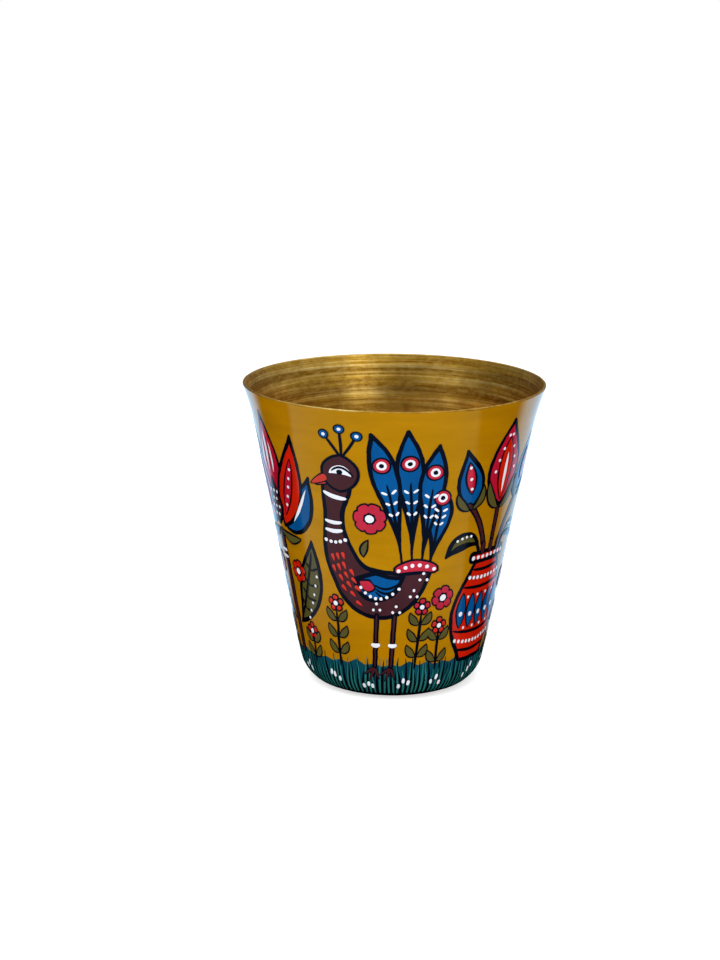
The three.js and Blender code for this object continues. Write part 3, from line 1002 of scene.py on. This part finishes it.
def paint_peacock(hand):
    spine = [(14, 30), (-4, 12), (-18, 30), (-8, 56)]
    hand.leaf("brown", [(-9, 49.2), (-8.4, 59.2)], 4.7, rounded, 0.7)
    hand.leaf("red", [(-11.6, 53.4), (-16.6, 50.6)], 1.7, letting_go, 0.5)
    hand.white_stroke([(-11.2, 54), (-8.4, 56.6), (-6, 53.6)], 1.15, pointed)
    hand.stroke("black", [(-10.6, 54.6), (-8.4, 57.6), (-5.4, 53.4)], 0.3, even, TOP_LAYER)
    hand.dot("black", -8.7, 54.6, 0.8, TOP_LAYER)
    for tip in ((-11.6, 64), (-8, 65.6), (-4.4, 64)):
        hand.stroke("black", [(-8, 58), tip], 0.35)
        hand.dot("black", *tip, 1.5, DARK_LAYER)
        hand.dot("blue", *tip, 1.1, COLOUR_LAYER)
        hand.dot("white", *tip, 0.5)

    hand.white_stroke(across(spine, 0.9, 3, 1), 0.55)
    hand.white_stroke(across(spine, 0.8, 2.3, 0.8), 0.5)
    hand.white_stroke(across(spine, 0.765, 2.4, 0.8), 0.5)
    hand.dots(across(spine, 0.72, 2.6, 1.2), 5, 0.55)
    for row, share in enumerate(steps(0.66, 0.36, 6)):
        for place in (0.62, 0.28, -0.06) if row % 2 else (0.46, 0.1, -0.26):
            line = across(spine, share, 4.2 + 0.4 * row, 0)
            start = on_curve([line[0], line[2]], 0.5 + place / 2)
            if start.x < -6.5 or start.y < 20:
                feather = [start, start - 2 * heading(spine, share)]
                hand.stroke("red", feather, 0.6, letting_go, COLOUR_LAYER)

    for x, y in ((-1, 18.4), (4.4, 17.8), (9, 22), (11.4, 26.4)):
        hand.three_dots(x, y + 1, 0.45)
    hand.leaf("crimson", [(-6, 26.6), (-3, 24.4), (-1.2, 25.2)], 1.9)
    for drop in (0, 1.7, 3.4):
        hand.stroke("black", [(-1.5, 25.6 - 0.5 * drop), (2, 23 - drop), (5.6, 26.6 - 0.4 * drop)], 0.32)
    hand.dots([(-5.2, 24.6), (-1, 19), (5, 24.6)], 8, 0.5)

    hand.leaf("crimson", [(3.4, 28.9), (9, 32.4), (15.4, 29)], 1.9, even)
    hand.dots([(4.8, 29.4), (9, 32.2), (14, 29.6)], 6, 0.6)
    tips = [(14.5, 51), (13, 62), (6, 66), (-1.5, 65)]
    roots = [(12.5, 29), (10.5, 29.5), (8.2, 30), (5.8, 30)]
    for number, (root, tip) in enumerate(zip(roots, tips)):
        quill = [root, (root[0] + 2.5 - 1.5 * number, 46), tip]
        hand.stroke("black", [on_curve(quill, s) for s in (0.15, 0.4, 0.66)], 0.36)
        x, y = on_curve(quill, 0.78)
        hand.dot("black", x, y, 2.5, DARK_LAYER)
        hand.dot("crimson", x, y, 2, COLOUR_LAYER)
        hand.dot("white", x, y, 1.3)
        hand.dot("black", x, y, 0.65, TOP_LAYER)
        for share in (0.42, 0.5, 0.58):
            side = across(quill, share, 0.75 + 3.2 * (share - 0.3), 0)
            for end in (side[0], side[2]):
                start = on_curve(quill, share)
                hand.white_stroke([start.lerp(end, 0.3), end + 0.8 * heading(quill, share)], 0.3)

    for hip, foot in ((-1, -2), (4, 3)):
        hand.white_stroke([(hip - 1.9, 9.4), (hip - 0.6, 8.6), (hip + 0.8, 9.4)], 0.55)
        for toe in ((-3.6, 0.8), (-2, -1), (1.4, -0.4)):
            hand.leaf("brown", [(foot, 3), (foot + toe[0], toe[1])], 0.95, letting_go, 0.35)

    hand.rosette(-2.2, 43, 7, 4.2, "crimson")
    hand.leaf("olive", [(-2.6, 37.6), (-4.6, 35), (-4, 32.6)], 1.2)
    hand.sprig((-13.6, 2), (-13, 18), 3, "olive", "red")
    hand.sprig((10.4, 2), (11.6, 18), 3, "olive", "crimson")


for panel, facing in ((0, 1), (3, -1)):
    paint_peacock(Hand(panel, facing))
print("marks so far:", sum(len(copies) for copies in marks.values()))

# %% [markdown]
# ## Flower pots
# A pot of this kind is banded: rings of slip at the neck and the foot, and a row of petals round the belly.

# %% Paint the flower pots


def paint_flowers(hand):
    hand.dots([(-6.2, 30.7), (6.2, 30.7)], 8, 0.62)
    hand.stroke("black", [(-5.6, 27.6), (0, 26.8), (5.6, 27.6)], 0.45)
    hand.dots([(-6.4, 25.6), (0, 24.4), (6.4, 25.6)], 9, 0.6)
    hand.stroke("black", [(-8.3, 23.2), (0, 21.8), (8.3, 23.2)], 0.45)
    hand.stroke("black", [(-9.9, 11.6), (0, 9.4), (9.9, 11.6)], 0.45)
    for x in (-7.6, -3.8, 0, 3.8, 7.6):
        sink = 0.6 * (1 - (x / 8) ** 2)
        hand.leaf("blue", [(x, 12 - sink), (x, 21.8 - sink)], 1.9)
        hand.dot("white", x, 16 - sink, 0.75)
    for x in (-5.7, -1.9, 1.9, 5.7):
        hand.dot("white", x, 20.4, 0.45)
        hand.dot("white", x, 12, 0.45)
    hand.dots([(-8.4, 8.8), (0, 6.6), (8.4, 8.8)], 11, 0.6)
    hand.stroke("black", [(-7.6, 6.2), (0, 4.6), (7.6, 6.2)], 0.45)

    for x in (-3, 0, 3):
        hand.leaf("brown", [(x, 31.2), (1.08 * x, 35)], 0.95, even, 0.3)
    hand.leaf("olive", [(0, 43), (-4.4, 45), (-4.8, 51)], 1.5)
    hand.leaf("olive", [(0, 43), (4.4, 45), (4.8, 51)], 1.5)
    hand.leaf("red", [(0, 45), (0, 61.5)], 2.7)
    hand.white_stroke([(0, 47), (0, 57.5)], 0.5, pointed)
    hand.dots([(-3.6, 53), (-2.6, 57), (-0.6, 61.8)], 4, 0.45)
    hand.dots([(3.6, 53), (2.6, 57), (0.6, 61.8)], 4, 0.45)
    for side in (-1, 1):
        bud = [(side * 9.5, 44), (side * 10, 52), (side * 12.5, 60)]
        hand.leaf("olive", [(side * 9.5, 44), (side * 5.8, 46), (side * 6.6, 50.5)], 1.3)
        hand.leaf("olive", [(side * 9.5, 44), (side * 13, 45), (side * 13.6, 49)], 1.3)
        hand.leaf("crimson", [on_curve(bud, s) for s in (0.25, 0.5, 0.8)], 1.6)
        hand.dots([on_curve(bud, s) for s in (0.35, 0.5, 0.7)], 3, 0.45)
        hand.stroke("black", [(side * 4.4, 31.4), (side * 4.9, 33.6), (side * 6.2, 35)], 0.5)
        leaf = [(side * 5, 33.9), (side * 10.5, 38.9), (side * 15, 31.9)]
        hand.stroke("black", [on_curve(leaf, s) for s in (0.1, 0.5, 0.9)], 0.35)
        hand.dots([on_curve(leaf, s) + Vector((0, 1.2)) for s in (0.3, 0.5, 0.7)], 4, 0.4)
        hand.rosette(side * 14.6, 21.5, 6, 3.4, "crimson")
        hand.sprig((side * 14.6, 1.5), (side * 14.8, 12.5), 2, "olive", "red")


for panel in (1, 4):
    paint_flowers(Hand(panel))
print("marks so far:", sum(len(copies) for copies in marks.values()))

# %% [markdown]
# ## Lotus plants
# Veins run from the foot of each petal towards its tip, and the heart is full of seeds.

# %% Paint the lotus plants


def paint_lotus(hand, stripe):
    seat = 36.5
    hand.white_stroke([(-1.5, 30), (1.5, 30)], 0.45)
    hand.white_stroke([(-1.5, 28.2), (1.5, 28.2)], 0.45)
    hand.white_stroke([(0, 50.5), (0, 61)], 0.55, pointed)
    for side in (-1, 1):
        hand.white_stroke([(side * 2, 50.5), (side * 2.6, 54), (side * 1.6, 58.5)], 0.42, pointed)
        middle_petal = [(side * 2.5, seat), (side * 8, 44), (side * 11, 62)]
        outer_petal = [(side * 3.5, seat), (side * 11.5, 39), (side * 14.8, 52)]
        hand.leaf(stripe, [on_curve(middle_petal, s) for s in (0.2, 0.52, 0.82)], 1.7)
        hand.dots([on_curve(middle_petal, s) for s in (0.35, 0.55, 0.72)], 5, 0.45)
        hand.white_stroke([on_curve(outer_petal, s) for s in (0.3, 0.6, 0.86)], 0.45, pointed)
        hand.leaf("olive", [(side * 0.6, 35.6), (side * 5, 32.6), (side * 9.6, 34.8)], 1.5)
        leaf = [(side * 2, 11), (side * 11, 17), (side * 13, 35)]
        hand.stroke("black", [on_curve(leaf, s) for s in (0.06, 0.5, 0.92)], 0.4)
        for share in (0.3, 0.45, 0.6, 0.75):
            start = on_curve(leaf, share)
            for end in across(leaf, share, 2.9 * math.sin(math.pi * share), 0)[::2]:
                hand.stroke("black", [start, end + 1.4 * heading(leaf, share)], 0.3)
        hand.dots([on_curve(leaf, s) + Vector((side * 1.9, -1.2)) for s in (0.25, 0.5, 0.75)], 6, 0.45)
        hand.sprig((side * 7.6, 1.5), (side * 8, 8.5), 2, "olive", "red")
        hand.rosette(side * 6, 25.5, 6, 3.2, "red" if stripe != "red" else "crimson")
    for row, y in enumerate((39.4, 41.4, 43.4, 45.4)):
        for x in (-1.8, 0, 1.8) if row % 2 else (-0.9, 0.9):
            hand.dot("white", x, y, 0.5)


paint_lotus(Hand(2), "blue")
paint_lotus(Hand(5), "crimson")
print("marks so far:", sum(len(copies) for copies in marks.values()))

# %% [markdown]
# ## Grass
# Blades are single upright strokes, dark ones first and green ones between them, all round the cup.
# Clusters of white flecks stand for small flowers. A ring of black strokes round the foot is partly a black
# foot line and partly painted shade where the cup meets the floor.

# %% Paint the grass
BLADES = 120
FLOWER_CLUSTERS = 16
FOOT_LINE_AND_SHADE_STROKES = 40
FOOT_STROKE_REACH = 1.15  # in shares of the way to the next stroke
BLADE_FOOT = -6  # rows of squares, below the wall and round the foot
BLADE_BEND = -1
FOOT_LINE = -6.1
BLADE_KINDS = (  # paint, shift along the ground, half width and layer
    ("black", 0, 0.72, 1.75),
    ("leaf_green", 0.8, 0.46, 1.95),
)
FOOT_LINE_LAYER = 2.3
FLECK_LAYER = 2.6
FLECKS = 3
FLECK_SPACING = 1.5

chance = random.Random(5)
ground = Hand(0, name="grass")
around = len(PANELS) * SQUARES_WIDE
for number in range(BLADES):
    x = around * number / BLADES
    for paint, shift, half, layer in BLADE_KINDS:
        foot = x + shift + chance.uniform(-0.2, 0.2)
        top = chance.uniform(1.5, 6.4)
        lean_over = chance.uniform(-1.2, 1.2)
        blade = [(foot, BLADE_FOOT), (foot, BLADE_BEND), (foot + lean_over, top)]
        ground.stroke(paint, blade, half, letting_go, layer)
# A ring of black strokes round the foot: partly a black foot line, partly painted shade.
for number in range(FOOT_LINE_AND_SHADE_STROKES):
    x = around * number / FOOT_LINE_AND_SHADE_STROKES
    end = x + FOOT_STROKE_REACH * around / FOOT_LINE_AND_SHADE_STROKES
    ground.stroke("black", [(x, FOOT_LINE), (end, FOOT_LINE)], 0.75, even, FOOT_LINE_LAYER)
for number in range(FLOWER_CLUSTERS):
    x = around * (number + 0.5) / FLOWER_CLUSTERS + chance.uniform(-2, 2)
    for step in range(FLECKS):
        y = chance.uniform(-3.6, 0.4)
        tilt = chance.uniform(-0.5, 0.5)
        foot = x + FLECK_SPACING * step
        ground.stroke("white", [(foot, y), (foot + tilt, y + 1.5)], 0.5, even, FLECK_LAYER)
print("marks so far:", sum(len(copies) for copies in marks.values()))

# %% [markdown]
# Marks of one paint in one picture dry into one skin, so they are joined into one piece, and the two marks
# they were copied from are put away.

# %% Join the marks
MARK_CREASE = math.radians(40)

for (name, paint), copies in marks.items():
    bpy.ops.object.select_all(action="DESELECT")
    for copy in copies:
        copy.select_set(True)
    piece = copies[0]
    bpy.context.view_layer.objects.active = piece
    bpy.ops.object.join()
    piece.name = name + "_" + paint + "_marks"
    bpy.ops.object.mode_set(mode="EDIT")
    bpy.ops.mesh.select_all(action="SELECT")
    bpy.ops.mesh.normals_make_consistent(inside=False)
    bpy.ops.object.mode_set(mode="OBJECT")
    bpy.ops.object.shade_smooth_by_angle(angle=MARK_CREASE)
    piece.data.materials.append(paints[paint])
    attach(piece, "root")
bpy.data.objects.remove(stroke_mark)
bpy.data.objects.remove(dot_mark)
print("pieces of joined marks:", len(marks))
